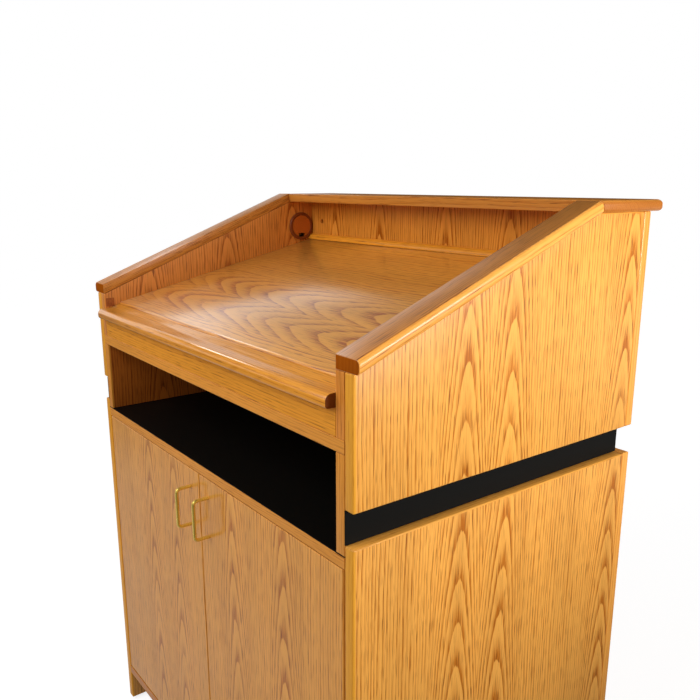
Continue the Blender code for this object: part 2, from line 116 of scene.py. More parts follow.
class NodeSheet:
    """Adds and joins the nodes of one shader tree."""

    def __init__(self, tree: bpy.types.NodeTree) -> None:
        """Work on one tree."""
        self.tree = tree

    def feed(self, node: Node, inputs: Dict[Any, Feed]) -> None:
        """Join a node's inputs to other nodes' outputs, or set their plain values.

        Args:
            node: The node.
            inputs: An output, or a number, vector or colour, by the input's name or number.
        """
        for name, value in inputs.items():
            if isinstance(value, Socket):
                self.tree.links.new(value, node.inputs[name])
            else:
                node.inputs[name].default_value = value

    def add(self, kind: str, inputs: Optional[Dict[Any, Feed]] = None, **settings: Any) -> Node:
        """Add one node.

        Args:
            kind: Blender's name of the shader node.
            inputs: What each input is fed, by name or number.
            settings: The node's own options.

        Returns:
            The new node.
        """
        node = self.tree.nodes.new("ShaderNode" + kind)
        for name, value in settings.items():
            setattr(node, name, value)
        self.feed(node, inputs or {})
        return node

    def maths(self, operation: str, *values: Feed) -> Socket:
        """Return the output of one maths node fed with these values."""
        return self.add("Math", dict(enumerate(values)), operation=operation).outputs[0]

    def times(self, first: Feed, second: Feed) -> Socket:
        """Return the product of two values."""
        return self.maths("MULTIPLY", first, second)

    def ramp(self, value: Feed, slope: Feed, start: Feed) -> Socket:
        """Return a value times a slope, plus a start."""
        return self.maths("MULTIPLY_ADD", value, slope, start)

    def between(self, factor: Feed, first: Feed, second: Feed) -> Socket:
        """Return a number between two others."""
        return self.add("Mix", {0: factor, 2: first, 3: second}).outputs[0]

    def parts(self, vector: Feed) -> Sequence[Socket]:
        """Return the X, Y and Z of a vector."""
        return self.add("SeparateXYZ", {0: vector}).outputs

    def ease(self, value: Feed, start: float, end: float, low: float = 0.0, high: float = 1.0) -> Socket:
        """Return a smooth step from low to high, as a value goes from the start to the end."""
        inputs = {"Value": value, "From Min": start, "From Max": end, "To Min": low, "To Max": high}
        return self.add("MapRange", inputs, interpolation_type="SMOOTHSTEP").outputs[0]

    def noise(self, vector: Feed, cells: Point, detail: float = 2.0, roughness: float = 0.5) -> Socket:
        """Return soft noise, 0 to 1, with so many cells per metre on each axis and layers of finer detail."""
        scaled = self.add("VectorMath", {0: vector, 1: cells}, operation="MULTIPLY").outputs[0]
        return self.add("TexNoise", {"Vector": scaled, "Scale": 1.0, "Detail": detail,
                                     "Roughness": roughness}).outputs[0]

    def swing(self, vector: Feed, cells: Point, *layers: float) -> Socket:
        """Return soft noise that swings about zero."""
        return self.maths("SUBTRACT", self.noise(vector, cells, *layers), 0.5)

    def mix(self, factor: Feed, first: Feed, second: Feed, blend: str = "MIX") -> Socket:
        """Return a blend of two colours."""
        inputs = {0: factor, 6: first, 7: second}
        return self.add("Mix", inputs, data_type="RGBA", blend_type=blend).outputs[2]

    def rays(self) -> Tuple[Socket, Socket]:
        """Return whether a ray comes from a gloss, and whether it comes from the camera."""
        path = self.add("LightPath").outputs
        return path["Is Glossy Ray"], self.maths("MAXIMUM", path["Is Camera Ray"], path["Is Transmission Ray"])


class Effect:
    """A shared effect: a node group with named inputs and outputs."""

    name: str
    inputs: Dict[str, str]
    outputs: Dict[str, str]

    def tree(self) -> bpy.types.NodeTree:
        """Build the node group on first use.

        Returns:
            The node group.
        """
        made = bpy.data.node_groups.get(self.name)
        if made:
            return made
        made = bpy.data.node_groups.new(self.name, "ShaderNodeTree")
        for where, sockets in (("INPUT", self.inputs), ("OUTPUT", self.outputs)):
            for label, kind in sockets.items():
                made.interface.new_socket(name=label, in_out=where, socket_type="NodeSocket" + kind)
        sheet = NodeSheet(made)
        results = self.draw(sheet, made.nodes.new("NodeGroupInput").outputs)
        sheet.feed(made.nodes.new("NodeGroupOutput"), results)
        return made

    def draw(self, sheet: NodeSheet, given: Any) -> Dict[str, Feed]:
        """Draw the effect, each kind in its own way."""
        raise NotImplementedError


class Figure(Effect):
    """Figure of plain-sawn oak in a solid block: growth rings, fibres and pores.

    The wood vector runs across the face, along the fibres and into the board, in metres. Cells are per
    metre on these axes. Steps say where an ease starts and ends, and its results.
    """

    name = "oak_figure"
    inputs = {"Wood": "Vector", "Pale": "Color", "Dark": "Color", "Pore": "Color", "Cut End": "Color",
              "Leaf": "Float", "First Heart": "Float", "Second Heart": "Float", "Taper": "Float",
              "Flare": "Float", "Ring": "Float", "Wander": "Float", "Contrast": "Float", "End Grain": "Float"}
    outputs = {"Colour": "Color", "Pores": "Float", "Height": "Float"}

    leaf_rise = 0.031
    sway_cells, sway_reach = (0.4, 2.6, 0.4), 5.0
    ragged_cells, ragged_reach = (120.0, 9.0, 120.0), 0.0009
    broad_cells = (9.0, 2.2, 9.0)
    tip_square, tip_slope = 0.000144, 0.05
    second_step = 0.0013
    uneven_cells, uneven_reach = (40.0, 0.5, 40.0), 2.2
    rift_ragged, rift_lean, rift_count, rift_weight = 0.5, 0.7, 0.55, 0.85
    flank_steps = (0.036, 0.066)
    arch_fade, rift_fade = 2.6, 3.2
    ring_start, ring_weight = (0.0, 0.07), (0.7, 0.6)
    fibre_cells, fibre_layers = (460.0, 16.0, 460.0), (2.0, 0.6)
    streak_steps = (0.34, 0.64, 0.30, 1.35)
    dash_cells, dash_steps = (640.0, 26.0, 640.0), (0.55, 0.66)
    pore_weight = (0.75, 0.20)
    cloud_cells, cloud_steps = (14.0, 2.0, 14.0), (0.25, 0.75, 0.93, 1.06)

    def draw(self, sheet: NodeSheet, given: Any) -> Dict[str, Feed]:
        """Draw the figure.

        Args:
            sheet: The group's sheet.
            given: The group's inputs.

        Returns:
            The colour, the pores and the height of the surface.
        """
        maths, times, ramp = sheet.maths, sheet.times, sheet.ramp
        face, length, depth = sheet.parts(given["Wood"])
        leaf = maths("WRAP", face, given["Leaf"], 0.0)
        order = maths("FLOOR", maths("DIVIDE", face, given["Leaf"]))
        along = ramp(order, self.leaf_rise, length)
        wood = sheet.add("CombineXYZ", {0: leaf, 1: along, 2: depth}).outputs[0]

        # The heart line of each leaf wanders a little from side to side
        sway = sheet.swing(wood, self.sway_cells, 1.0)
        across = ramp(sway, times(given["Wander"], self.sway_reach), leaf)
        ragged = sheet.swing(wood, self.ragged_cells)
        broad = sheet.swing(wood, self.broad_cells)
        offs = [maths("SUBTRACT", across, given[heart]) for heart in ("First Heart", "Second Heart")]
        first, second = [self.arch(sheet, off, given["Flare"]) for off in offs]
        radius = maths("MINIMUM", first, maths("ADD", second, self.second_step))
        shift = ramp(broad, given["Wander"], times(ragged, self.ragged_reach))
        drift = ramp(along, given["Taper"], maths("ADD", shift, depth))
        phase = maths("DIVIDE", maths("ADD", radius, drift), given["Ring"])

        # Away from the hearts the rings are cut as upright lines at uneven distances
        uneven = sheet.noise(wood, self.uneven_cells, 1.0)
        uneven = ramp(uneven, self.uneven_reach, times(ragged, self.rift_ragged))
        rift = maths("DIVIDE", ramp(depth, self.rift_lean, across), given["Ring"])
        lines = self.rings(sheet, ramp(rift, self.rift_count, uneven), self.rift_fade)
        near = maths("MINIMUM", *[maths("ABSOLUTE", off) for off in offs])
        band = sheet.between(sheet.ease(near, *self.flank_steps), self.rings(sheet, phase, self.arch_fade),
                             times(lines, self.rift_weight))

        # Fibres break up the rings, pores lie in them as short dashes, and the tone drifts over the board
        streak = sheet.ease(sheet.noise(wood, self.fibre_cells, *self.fibre_layers), *self.streak_steps)
        dark = times(times(band, streak), given["Contrast"])
        dashes = sheet.ease(sheet.noise(wood, self.dash_cells, 1.0), *self.dash_steps)
        pores = times(dashes, ramp(band, *self.pore_weight))
        cloud = sheet.ease(sheet.noise(wood, self.cloud_cells, 1.0), *self.cloud_steps)
        tone = sheet.add("CombineColor", {0: cloud, 1: cloud, 2: cloud}).outputs[0]
        colour = sheet.mix(maths("MINIMUM", dark, 1.0), given["Pale"], given["Dark"])
        colour = sheet.mix(times(pores, given["Contrast"]), colour, given["Pore"])
        colour = sheet.mix(1.0, colour, tone, "MULTIPLY")
        colour = sheet.mix(given["End Grain"], colour, given["Cut End"])
        return {"Colour": colour, "Pores": pores, "Height": maths("SUBTRACT", 1.0, pores)}

    def arch(self, sheet: NodeSheet, off: Socket, flare: Socket) -> Socket:
        """Return how far a point lies below the arch at a heart's tip, by its distance off the heart line."""
        square = sheet.times(off, off)
        return sheet.ramp(square, flare, sheet.times(
            sheet.maths("SQRT", sheet.maths("ADD", square, self.tip_square)), self.tip_slope))

    def rings(self, sheet: NodeSheet, count: Socket, fade: float) -> Socket:
        """Draw rings that start sharply with a band of pores and fade into pale late wood.

        Args:
            sheet: The group's sheet.
            count: How many rings lie before the point.
            fade: How soon they fade.

        Returns:
            How dark the ring is at the point.
        """
        place = sheet.maths("FRACT", count)
        tail = sheet.maths("POWER", sheet.maths("SUBTRACT", 1.0, place), fade)
        lot = sheet.add("TexWhiteNoise", {"W": sheet.maths("FLOOR", count)}, noise_dimensions="1D")
        weight = sheet.ramp(lot.outputs["Value"], *self.ring_weight)
        return sheet.times(sheet.times(tail, sheet.ease(place, *self.ring_start)), weight)


class Marks(Effect):
    """Faint unevenness of a sprayed and handled surface: smears and specks of dust."""

    name = "lacquer_marks"
    inputs = {"Place": "Vector", "Base": "Float", "Spread": "Float"}
    outputs = {"Roughness": "Float"}

    smear_cells, smear_layers = (7.0, 7.0, 7.0), (3.0, 0.6)
    dust_cells, dust_steps, dust_weight = (420.0, 420.0, 420.0), (0.66, 0.74), 0.06

    def draw(self, sheet: NodeSheet, given: Any) -> Dict[str, Feed]:
        """Draw the marks.

        Args:
            sheet: The group's sheet.
            given: The group's inputs.

        Returns:
            The roughness.
        """
        smears = sheet.swing(given["Place"], self.smear_cells, *self.smear_layers)
        dust = sheet.ease(sheet.noise(given["Place"], self.dust_cells, 1.0), *self.dust_steps)
        uneven = sheet.ramp(smears, given["Spread"], given["Base"])
        return {"Roughness": sheet.ramp(dust, self.dust_weight, uneven)}


class Grain(Enum):
    """Axes that lie across the face, along the fibres and into the board."""

    UPRIGHT_SIDE = ("Y", "Z", "X")
    UPRIGHT_FRONT = ("X", "Z", "Y")
    ACROSS_TOP = ("Y", "X", "Z")
    ACROSS_FRONT = ("Z", "X", "Y")
    DEPTH_TOP = ("X", "Y", "Z")


class Finish:
    """A finish with one material."""

    name: str

    def material(self) -> bpy.types.Material:
        """Make the material on first use.

        Returns:
            The material.
        """
        made = bpy.data.materials.get(self.name)
        if made:
            return made
        made = bpy.data.materials.new(self.name)
        made.use_nodes = True
        self.paint(NodeSheet(made.node_tree), made.node_tree.nodes["Principled BSDF"])
        return made

    def paint(self, sheet: NodeSheet, shader: Node) -> None:
        """Feed the material's shader, each kind in its own way."""
        raise NotImplementedError


@dataclass(frozen=True)
class Oak(Finish):
    """Clear-lacquered oak: how a board was sawn, its pale, dark and pore colours, and how it shines."""

    name: str
    grain: Grain
    start: Point
    shades: Shades = ((242, 168, 76), (196, 104, 26), (156, 78, 16))
    tilt: float = 0.0
    leaf: float = 0.380
    hearts: Pair = (0.185, 0.280)
    taper: float = 0.045
    flare: float = 6.9
    ring: float = 0.0036
    wander: float = 0.0040
    contrast: float = 1.25
    cut_end: Colour = (150, 74, 18)
    end: float = 0.55
    end_steps: Steps = (0.55, 0.90)
    coat: float = 0.5
    polish: float = 0.10
    gloss: float = 0.15
    roughness: float = 0.42
    spread: float = 0.16
    pore_roughness: float = 0.10
    relief: Pair = (0.35, 0.0003)

    def paint(self, sheet: NodeSheet, shader: Node) -> None:
        """Saw the board out of the figured block and lacquer it.

        Args:
            sheet: The material's sheet.
            shader: The material's shader.
        """
        place = sheet.add("TexCoord").outputs
        turn = {"Vector": place["Object"], "Location": self.start, "Rotation": (self.tilt, 0.0, 0.0)}
        parts = sheet.parts(sheet.add("Mapping", turn, vector_type="TEXTURE").outputs[0])
        axes = self.grain.value
        wood = sheet.add("CombineXYZ", {i: parts[axis] for i, axis in enumerate(axes)}).outputs[0]
        fibres = Matrix.Rotation(self.tilt, 3, "X") @ Vector([float(axis == axes[1]) for axis in "XYZ"])
        facing = sheet.add("VectorMath", {0: place["Normal"], 1: tuple(fibres)}, operation="DOT_PRODUCT")
        end_grain = sheet.ease(sheet.maths("ABSOLUTE", facing.outputs["Value"]), *self.end_steps, 0.0, self.end)
        pale, dark, pore = map(linear, self.shades)
        figure = sheet.add("Group", {
            "Wood": wood, "Pale": pale, "Dark": dark, "Pore": pore, "Cut End": linear(self.cut_end),
            "Leaf": self.leaf, "First Heart": self.hearts[0], "Second Heart": self.hearts[1],
            "Taper": self.taper, "Flare": self.flare, "Ring": self.ring, "Wander": self.wander,
            "Contrast": self.contrast, "End Grain": end_grain}, node_tree=Figure().tree()).outputs
        marks = sheet.add("Group", {"Place": place["Object"], "Base": self.roughness, "Spread": self.spread},
                          node_tree=Marks().tree())
        strength, distance = self.relief
        bump = sheet.add("Bump", {"Height": figure["Height"], "Strength": strength, "Distance": distance})
        sheet.feed(shader, {
            "Base Color": figure["Colour"], "Normal": bump.outputs[0], "Specular IOR Level": self.gloss,
            "Roughness": sheet.ramp(figure["Pores"], self.pore_roughness, marks.outputs[0]),
            "Coat Weight": sheet.ramp(end_grain, -self.coat, self.coat), "Coat Roughness": self.polish})


@dataclass(frozen=True)
class Rift(Oak):
    """Solid rift-sawn oak: its heart is far off, so its rings show as nearly straight lines."""

    leaf: float = 9.0
    hearts: Pair = (9.0, 9.0)
    ring: float = 0.0030
    wander: float = 0.002
    contrast: float = 0.8


@dataclass(frozen=True)
class Speckled(Finish):
    """A made material: laminate, plastic, nylon, felt or metal, with a fine speckle of two colours."""

    name: str
    first: Colour
    second: Colour
    roughness: float
    metallic: float = 0.0
    cells: Point = (600.0, 600.0, 600.0)
    layers: Pair = (2.0, 0.6)
    steps: Steps = (0.35, 0.65)
    spread: float = 0.12
    specular: float = 0.5
    relief: float = 0.0
    relief_strength: float = 0.4

    def paint(self, sheet: NodeSheet, shader: Node) -> None:
        """Speckle the surface.

        Args:
            sheet: The material's sheet.
            shader: The material's shader.
        """
        place = sheet.add("TexCoord").outputs["Object"]
        speckle = sheet.noise(place, self.cells, *self.layers)
        marks = sheet.add("Group", {"Place": place, "Base": self.roughness, "Spread": self.spread},
                          node_tree=Marks().tree())
        sheet.feed(shader, {
            "Base Color": sheet.mix(sheet.ease(speckle, *self.steps), linear(self.first), linear(self.second)),
            "Roughness": marks.outputs[0], "Metallic": self.metallic, "Specular IOR Level": self.specular})
        if self.relief:
            bump = {"Height": speckle, "Strength": self.relief_strength, "Distance": self.relief}
            sheet.feed(shader, {"Normal": sheet.add("Bump", bump).outputs[0]})


class Pick(Enum):
    """What kind of element is selected."""

    VERTS = "VERT"
    EDGES = "EDGE"
    FACES = "FACE"


class Piece:
    """One piece on the bench, modelled with Blender's own tools."""

    sharp = math.radians(40)
    smooth = math.radians(35)

    def __init__(self, name: str) -> None:
        """Take the active object as a piece and put its place into its mesh.

        Args:
            name: The piece's name.
        """
        self.made = bpy.context.object
        self.made.name = name
        self.made.data.name = name
        bpy.ops.object.transform_apply(location=True, rotation=True, scale=True)

    @classmethod
    def block(cls, name: str, low: Point, high: Point) -> "Piece":
        """Start a piece as a block between two corners.

        Args:
            name: The piece's name.
            low: The lowest corner.
            high: The highest corner.

        Returns:
            The piece.
        """
        clear()
        middle = [(a + b) / 2 for a, b in zip(low, high)]
        size = [b - a for a, b in zip(low, high)]
        bpy.ops.mesh.primitive_cube_add(size=1.0, location=middle, scale=size)
        return cls(name)

    def take(self) -> None:
        """Select this piece alone and make it active."""
        clear()
        bpy.context.view_layer.objects.active = self.made
        self.made.select_set(True)

    def repeat(self, name: str, by: Vector) -> "Piece":
        """Copy the piece with its own mesh.

        Args:
            name: The copy's name.
            by: How far the copy lies from it.

        Returns:
            The copy.
        """
        self.take()
        bpy.ops.object.duplicate()
        bpy.ops.transform.translate(value=by)
        return Piece(name)

    def pick(self, kind: Pick, test: Test) -> None:
        """Open the piece for editing with only some elements selected.

        Args:
            kind: Corners, edges or faces.
            test: Passes each corner of the elements to select, and the middle between them.
        """
        if bpy.context.mode != "OBJECT":
            self.close()
        self.take()
        bpy.ops.object.mode_set(mode="EDIT")
        bpy.ops.mesh.select_mode(type=kind.value)
        bpy.ops.mesh.select_all(action="DESELECT")
        shape = bmesh.from_edit_mesh(self.made.data)
        for item in getattr(shape, kind.name.lower()):
            points = [corner.co for corner in getattr(item, "verts", [item])]
            points.append(sum(points, Vector()) / len(points))
            if all(map(test, points)):
                item.select_set(True)
        shape.select_flush_mode()
        bmesh.update_edit_mesh(self.made.data)

    def close(self) -> None:
        """Leave edit mode."""
        bpy.ops.object.mode_set(mode="OBJECT")

    def work(self, tool: Callable[..., Any], kind: Pick, test: Test, **options: Any) -> None:
        """Use one tool on some elements.

        Args:
            tool: The tool.
            kind: Corners, edges or faces.
            test: Passes each corner of the elements, and the middle between them.
            options: The tool's own options.
        """
        self.pick(kind, test)
        tool(**options)
        self.close()

    def shift(self, test: Test, by: Point) -> None:
        """Move the corners that pass a test."""
        self.work(bpy.ops.transform.translate, Pick.VERTS, test, value=by)

    def round(self, test: Test, radius: float, steps: int) -> None:
        """Round over the edges that pass a test."""
        self.work(bpy.ops.mesh.bevel, Pick.EDGES, test, offset=radius, segments=steps, affect="EDGES",
                  clamp_overlap=True)

    def saw(self, point: Point, normal: Point, off: bool = False) -> None:
        """Saw along the plane through a point. The side that the normal points to may fall off."""
        self.work(bpy.ops.mesh.bisect, Pick.FACES, anywhere, plane_co=point, plane_no=normal, use_fill=off,
                  clear_outer=off)

    def ease(self, radius: float, steps: int = 3) -> None:
        """Break every edge that is still sharp.

        Args:
            radius: The radius of the arris.
            steps: How many facets it has.
        """
        self.pick(Pick.EDGES, nowhere)
        bpy.ops.mesh.edges_select_sharp(sharpness=self.sharp)
        bpy.ops.mesh.bevel(offset=radius, segments=steps, affect="EDGES", clamp_overlap=True)
        self.close()

    def face(self, test: Test, slot: int) -> None:
        """Give some faces another of the piece's materials.

        Args:
            test: Passes each corner of the faces.
            slot: Which material they get.
        """
        for face in self.made.data.polygons:
            if all(test(self.made.data.vertices[i].co) for i in face.vertices):
                face.material_index = slot

    def tidy(self) -> None:
        """Merge doubles, point the faces outwards and shade the rounds smooth."""
        self.pick(Pick.VERTS, anywhere)
        bpy.ops.mesh.remove_doubles(threshold=TINY / 2)
        bpy.ops.mesh.normals_make_consistent(inside=False)
        self.close()
        bpy.ops.object.shade_smooth_by_angle(angle=self.smooth)


BLACK = Speckled("black_laminate_face", (9, 9, 7), (15, 14, 12), 0.55, cells=(900.0, 900.0, 900.0), specular=0.1)
BRASS = Speckled("polished_brass", (252, 222, 112), (240, 204, 90), 0.24, 0.62, (900.0, 900.0, 60.0))
STEEL = Speckled("bright_steel", (172, 172, 174), (150, 150, 153), 0.30, 1.0, (800.0, 800.0, 800.0))
NYLON = Speckled("grey_nylon_face", (142, 139, 134), (126, 123, 118), 0.52, relief=0.0002)
BROWN = Speckled("brown_plastic_face", (200, 104, 28), (178, 90, 22), 0.42, relief=0.0002)
RING = Speckled("dark_plastic_face", (134, 62, 16), (112, 50, 12), 0.42, relief=0.0002)
FELT = Speckled("brown_felt", (172, 94, 30), (132, 64, 16), 0.85, cells=(140.0, 140.0, 140.0), relief=0.0006)
BOARD = Oak("oak_carcass_board", Grain.UPRIGHT_SIDE, (0.42, -0.30, 0.0),
            ((186, 102, 33), (130, 58, 11), (100, 43, 8)), hearts=(0.12, 0.26), coat=0.2)


class Side(Enum):
    """The two sides of the lectern, as the sign of X."""

    LEFT = -1
    RIGHT = 1

    @property
    def label(self) -> str:
        """Return the side's word in the names of nodes."""
        return self.name.lower()


@dataclass
class Assembly:
    """A sub-assembly: its sizes, and the loaded frame that its pieces are fitted to."""

    frame: Dict[str, Any]

    def build(self) -> None:
        """Model and dress the sub-assembly, each in its own way."""
        raise NotImplementedError

    def fit(self, piece: Piece, body: str, slot: str, finishes: Sequence[Finish], *nodes: str) -> None:
        """Finish a new piece and let it ride on a body.

        Args:
            piece: The modelled piece.
            body: The body that it moves with.
            slot: Not used.
            finishes: The piece's finishes, in the order of its materials.
            nodes: The nodes that it stands for.
        """
        made = piece.made
        for finish in finishes:
            made.data.materials.append(finish.material())
        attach(made, body)
        if nodes:
            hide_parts(*nodes)
        LOG.info("piece %s on %s, %d faces", made.name, body, len(made.data.polygons))

    def dress(self, finish: Finish, *nodes: str) -> None:
        """Give nodes that keep their shape a better material.

        Args:
            finish: Their finish.
            nodes: The nodes.
        """
        for name in nodes:
            mesh = self.frame["nodes"][name].data
            mesh.materials.clear()
            mesh.materials.append(finish.material())
            LOG.info("node %s dressed in %s", name, finish.name)


@dataclass
class Cladding(Assembly):
    """Outer panels: veneered boards with solid edging, and the black recess between them."""

    edging: float = 0.0040
    arris: Round = (0.0024, 4)
    cap_gap: float = 0.0003
    edging_start: Point = (0.30, -0.40, 0.0)
    shades: Shades = ((241, 167, 52), (209, 126, 26), (173, 93, 16))
    # Painted shade: the top edges take a darker copy of the edging, for the light that falls on them from above.
    top_shades: Shades = ((226, 158, 66), (196, 122, 36), (160, 88, 20))
    levels: Tuple[str, ...] = ("upper", "lower")

    def build(self) -> None:
        """Model the panels and dress the recess."""
        for side in Side:
            for level in self.levels:
                self.side_panel(side, level)
        for level in self.levels:
            self.audience(level)
        self.dress(BLACK, "reveal_band_left", "reveal_band_right", "reveal_band_audience")

    def side_panel(self, side: Side, level: str) -> None:
        """Model one side panel with its edging. The top of an upper one slopes under its cap.

        Args:
            side: Which side.
            level: Upper or lower.
        """
        node = "%s_side_panel_%s" % (level, side.label)
        low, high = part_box(node)
        piece = Piece.block("veneered_" + node, low, high)
        if level == "upper":
            cap_low, cap_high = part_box("side_cap_" + side.label)
            rise = (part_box("top_board")[0].z - cap_low.z) / (cap_high.y - cap_low.y)
            piece.saw((0.0, low.y, cap_low.z - self.cap_gap), (0.0, -rise, 1.0), off=True)
        line = low.y + self.edging
        piece.saw((0.0, line, 0.0), (0.0, 1.0, 0.0))
        piece.ease(*self.arris)
        top = max(corner.co.z for corner in piece.made.data.vertices) - self.arris[0]
        piece.face(lambda p: p.y < line + TINY, 1)
        # Painted shade: the top faces get the darker copy of the edging.
        piece.face(lambda p: p.z > top - TINY, 2)
        piece.tidy()
        veneer = Oak("oak_veneer_" + side.label, Grain.UPRIGHT_SIDE, (side.value * 0.457, low.y, -0.027),
                     ((240, 170, 76), (186, 103, 12), (144, 76, 8)), contrast=1.5, coat=0.4, polish=0.34,
                     hearts=(0.202, 0.297) if side is Side.RIGHT else (0.120, 0.300))
        front = Rift("oak_edging_" + side.label, Grain.UPRIGHT_SIDE, self.edging_start, self.shades, end=0.0,
                     coat=SATIN)
        over = Rift("oak_top_edging_" + side.label, Grain.DEPTH_TOP, self.edging_start, self.top_shades,
                    end=0.0, coat=SATIN)
        self.fit(piece, CARCASS, "oak_panel", (veneer, front, over), node)

    def audience(self, level: str) -> None:
        """Model one panel on the audience side, with edging down both ends.

        Args:
            level: Upper or lower.
        """
        node = level + "_audience_panel"
        low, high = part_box(node)
        piece = Piece.block("veneered_" + node, low, high)
        line = high.x - self.edging
        for side in Side:
            piece.saw((side.value * line, 0.0, 0.0), (1.0, 0.0, 0.0))
        piece.ease(*self.arris)
        for side in Side:
            piece.face(lambda p: side.value * p.x > line - TINY, 1)
        piece.tidy()
        veneer = Oak("oak_veneer_audience", Grain.UPRIGHT_FRONT, (-0.46, 0.32, 0.0), hearts=(0.12, 0.25), end=0.0)
        edge = Rift("oak_edging_audience", Grain.UPRIGHT_SIDE, (0.46, 0.30, 0.0),
                    (*veneer.shades[:2], self.shades[2]), end=0.0, ring=0.0036, wander=0.004, contrast=0.6)
        self.fit(piece, CARCASS, "oak_panel", (veneer, edge), node)


@dataclass
class Caps(Assembly):
    """Sloped side caps and the flat top board, rounded on their outer edges."""

    thick: float = 0.019
    top: Round = (0.0075, 10)
    bottom: Round = (0.0060, 6)
    nose: float = 0.0054
    arris: float = 0.0010
    ring: float = 0.0026
    # Painted shade and light: the top shades are darkened for the light that falls from above, also on the top
    # board; the rounded outer edge gets a paler lit copy.
    shades: Shades = ((212, 138, 55), (166, 90, 23), (102, 43, 6))
    end_shades: Shades = ((162, 81, 15), (138, 63, 8), (101, 42, 4))
    nose_shades: Shades = ((240, 166, 72), (206, 124, 38), (156, 84, 22))

    def build(self) -> None:
        """Model the three boards."""
        for side in Side:
            self.side_cap(side)
        self.top_board()

    def slope(self, side: Side) -> float:
        """Return how steeply a side cap runs, in radians."""
        low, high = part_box("side_cap_" + side.label)
        return math.atan2(high.z - self.thick - low.z, high.y - low.y)

    def side_cap(self, side: Side) -> None:
        """Model one side cap: plumb at the front, mitred against the top board.

        Args:
            side: Which side.
        """
        node = "side_cap_" + side.label
        low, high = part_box(node)
        slope = self.slope(side)
        rise = self.thick / math.cos(slope)
        lean = self.thick * math.tan(slope / 2)
        piece = Piece.block("rounded_" + node, low, (high.x, high.y, low.z + rise))
        piece.shift(at(y=high.y, z=low.z), (0.0, 0.0, high.z - self.thick - low.z))
        piece.shift(at(y=high.y, z=low.z + rise), (0.0, -lean, high.z - low.z - rise))
        edge = high.x if side is Side.RIGHT else low.x

        def outer(p: Vector, upper: bool) -> bool:
            """Say whether a point lies on the outer edge, in the upper or the lower half of the cap."""
            above = p.z - low.z - math.tan(slope) * (p.y - low.y) > self.thick / 2
            return abs(p.x - edge) < TINY and above == upper

        piece.round(lambda p: outer(p, True), *self.top)
        piece.round(lambda p: outer(p, False), *self.bottom)
        piece.ease(self.arris)
        piece.tidy()
        # Painted light: faces near the outer edge take the paler lit copy of the cap's oak.
        piece.face(lambda p: abs(p.x - edge) < self.nose, 2)
        piece.face(lambda p: p.y < low.y + TINY, 1)
        start = (side.value * 0.40, low.y, low.z)
        coat, gloss = (0.8, 0.4) if side is Side.RIGHT else (0.3, 0.15)
        oak = Rift("oak_cap_" + side.label, Grain.DEPTH_TOP, start, self.shades, tilt=slope, end=0.0,
                   contrast=1.5, ring=self.ring, coat=coat, polish=0.28, roughness=0.36, gloss=gloss)
        cut = Rift("oak_cap_end_" + side.label, Grain.UPRIGHT_SIDE, start, self.end_shades, end=0.0, coat=0.0,
                   gloss=0.0, roughness=0.6)
        nose = Rift("oak_cap_nose_" + side.label, Grain.DEPTH_TOP, start, self.nose_shades, tilt=slope, end=0.0,
                    contrast=1.2, ring=self.ring, coat=0.5, polish=0.26)
        self.fit(piece, CARCASS, "oak_cap", (oak, cut, nose), node)

    def top_board(self) -> None:
        """Model the flat top board, rounded all round but along its front edge."""
        low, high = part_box("top_board")
        lean = self.thick * math.tan(self.slope(Side.RIGHT) / 2)
        piece = Piece.block("rounded_top_board", low, high)
        piece.shift(at(y=low.y, z=low.z), (0.0, lean, 0.0))
        for level, rim in ((high.z, self.top), (low.z, self.bottom)):
            piece.round(lambda p: abs(p.z - level) < TINY and (
                abs(p.x) > high.x / 2 or p.y > low.y + lean + TINY), *rim)
        piece.ease(self.arris)
        piece.tidy()
        oak = Rift("oak_top_board", Grain.ACROSS_TOP, (0.0, low.y, low.z), self.shades)
        self.fit(piece, CARCASS, "oak_cap", (oak,), "top_board")


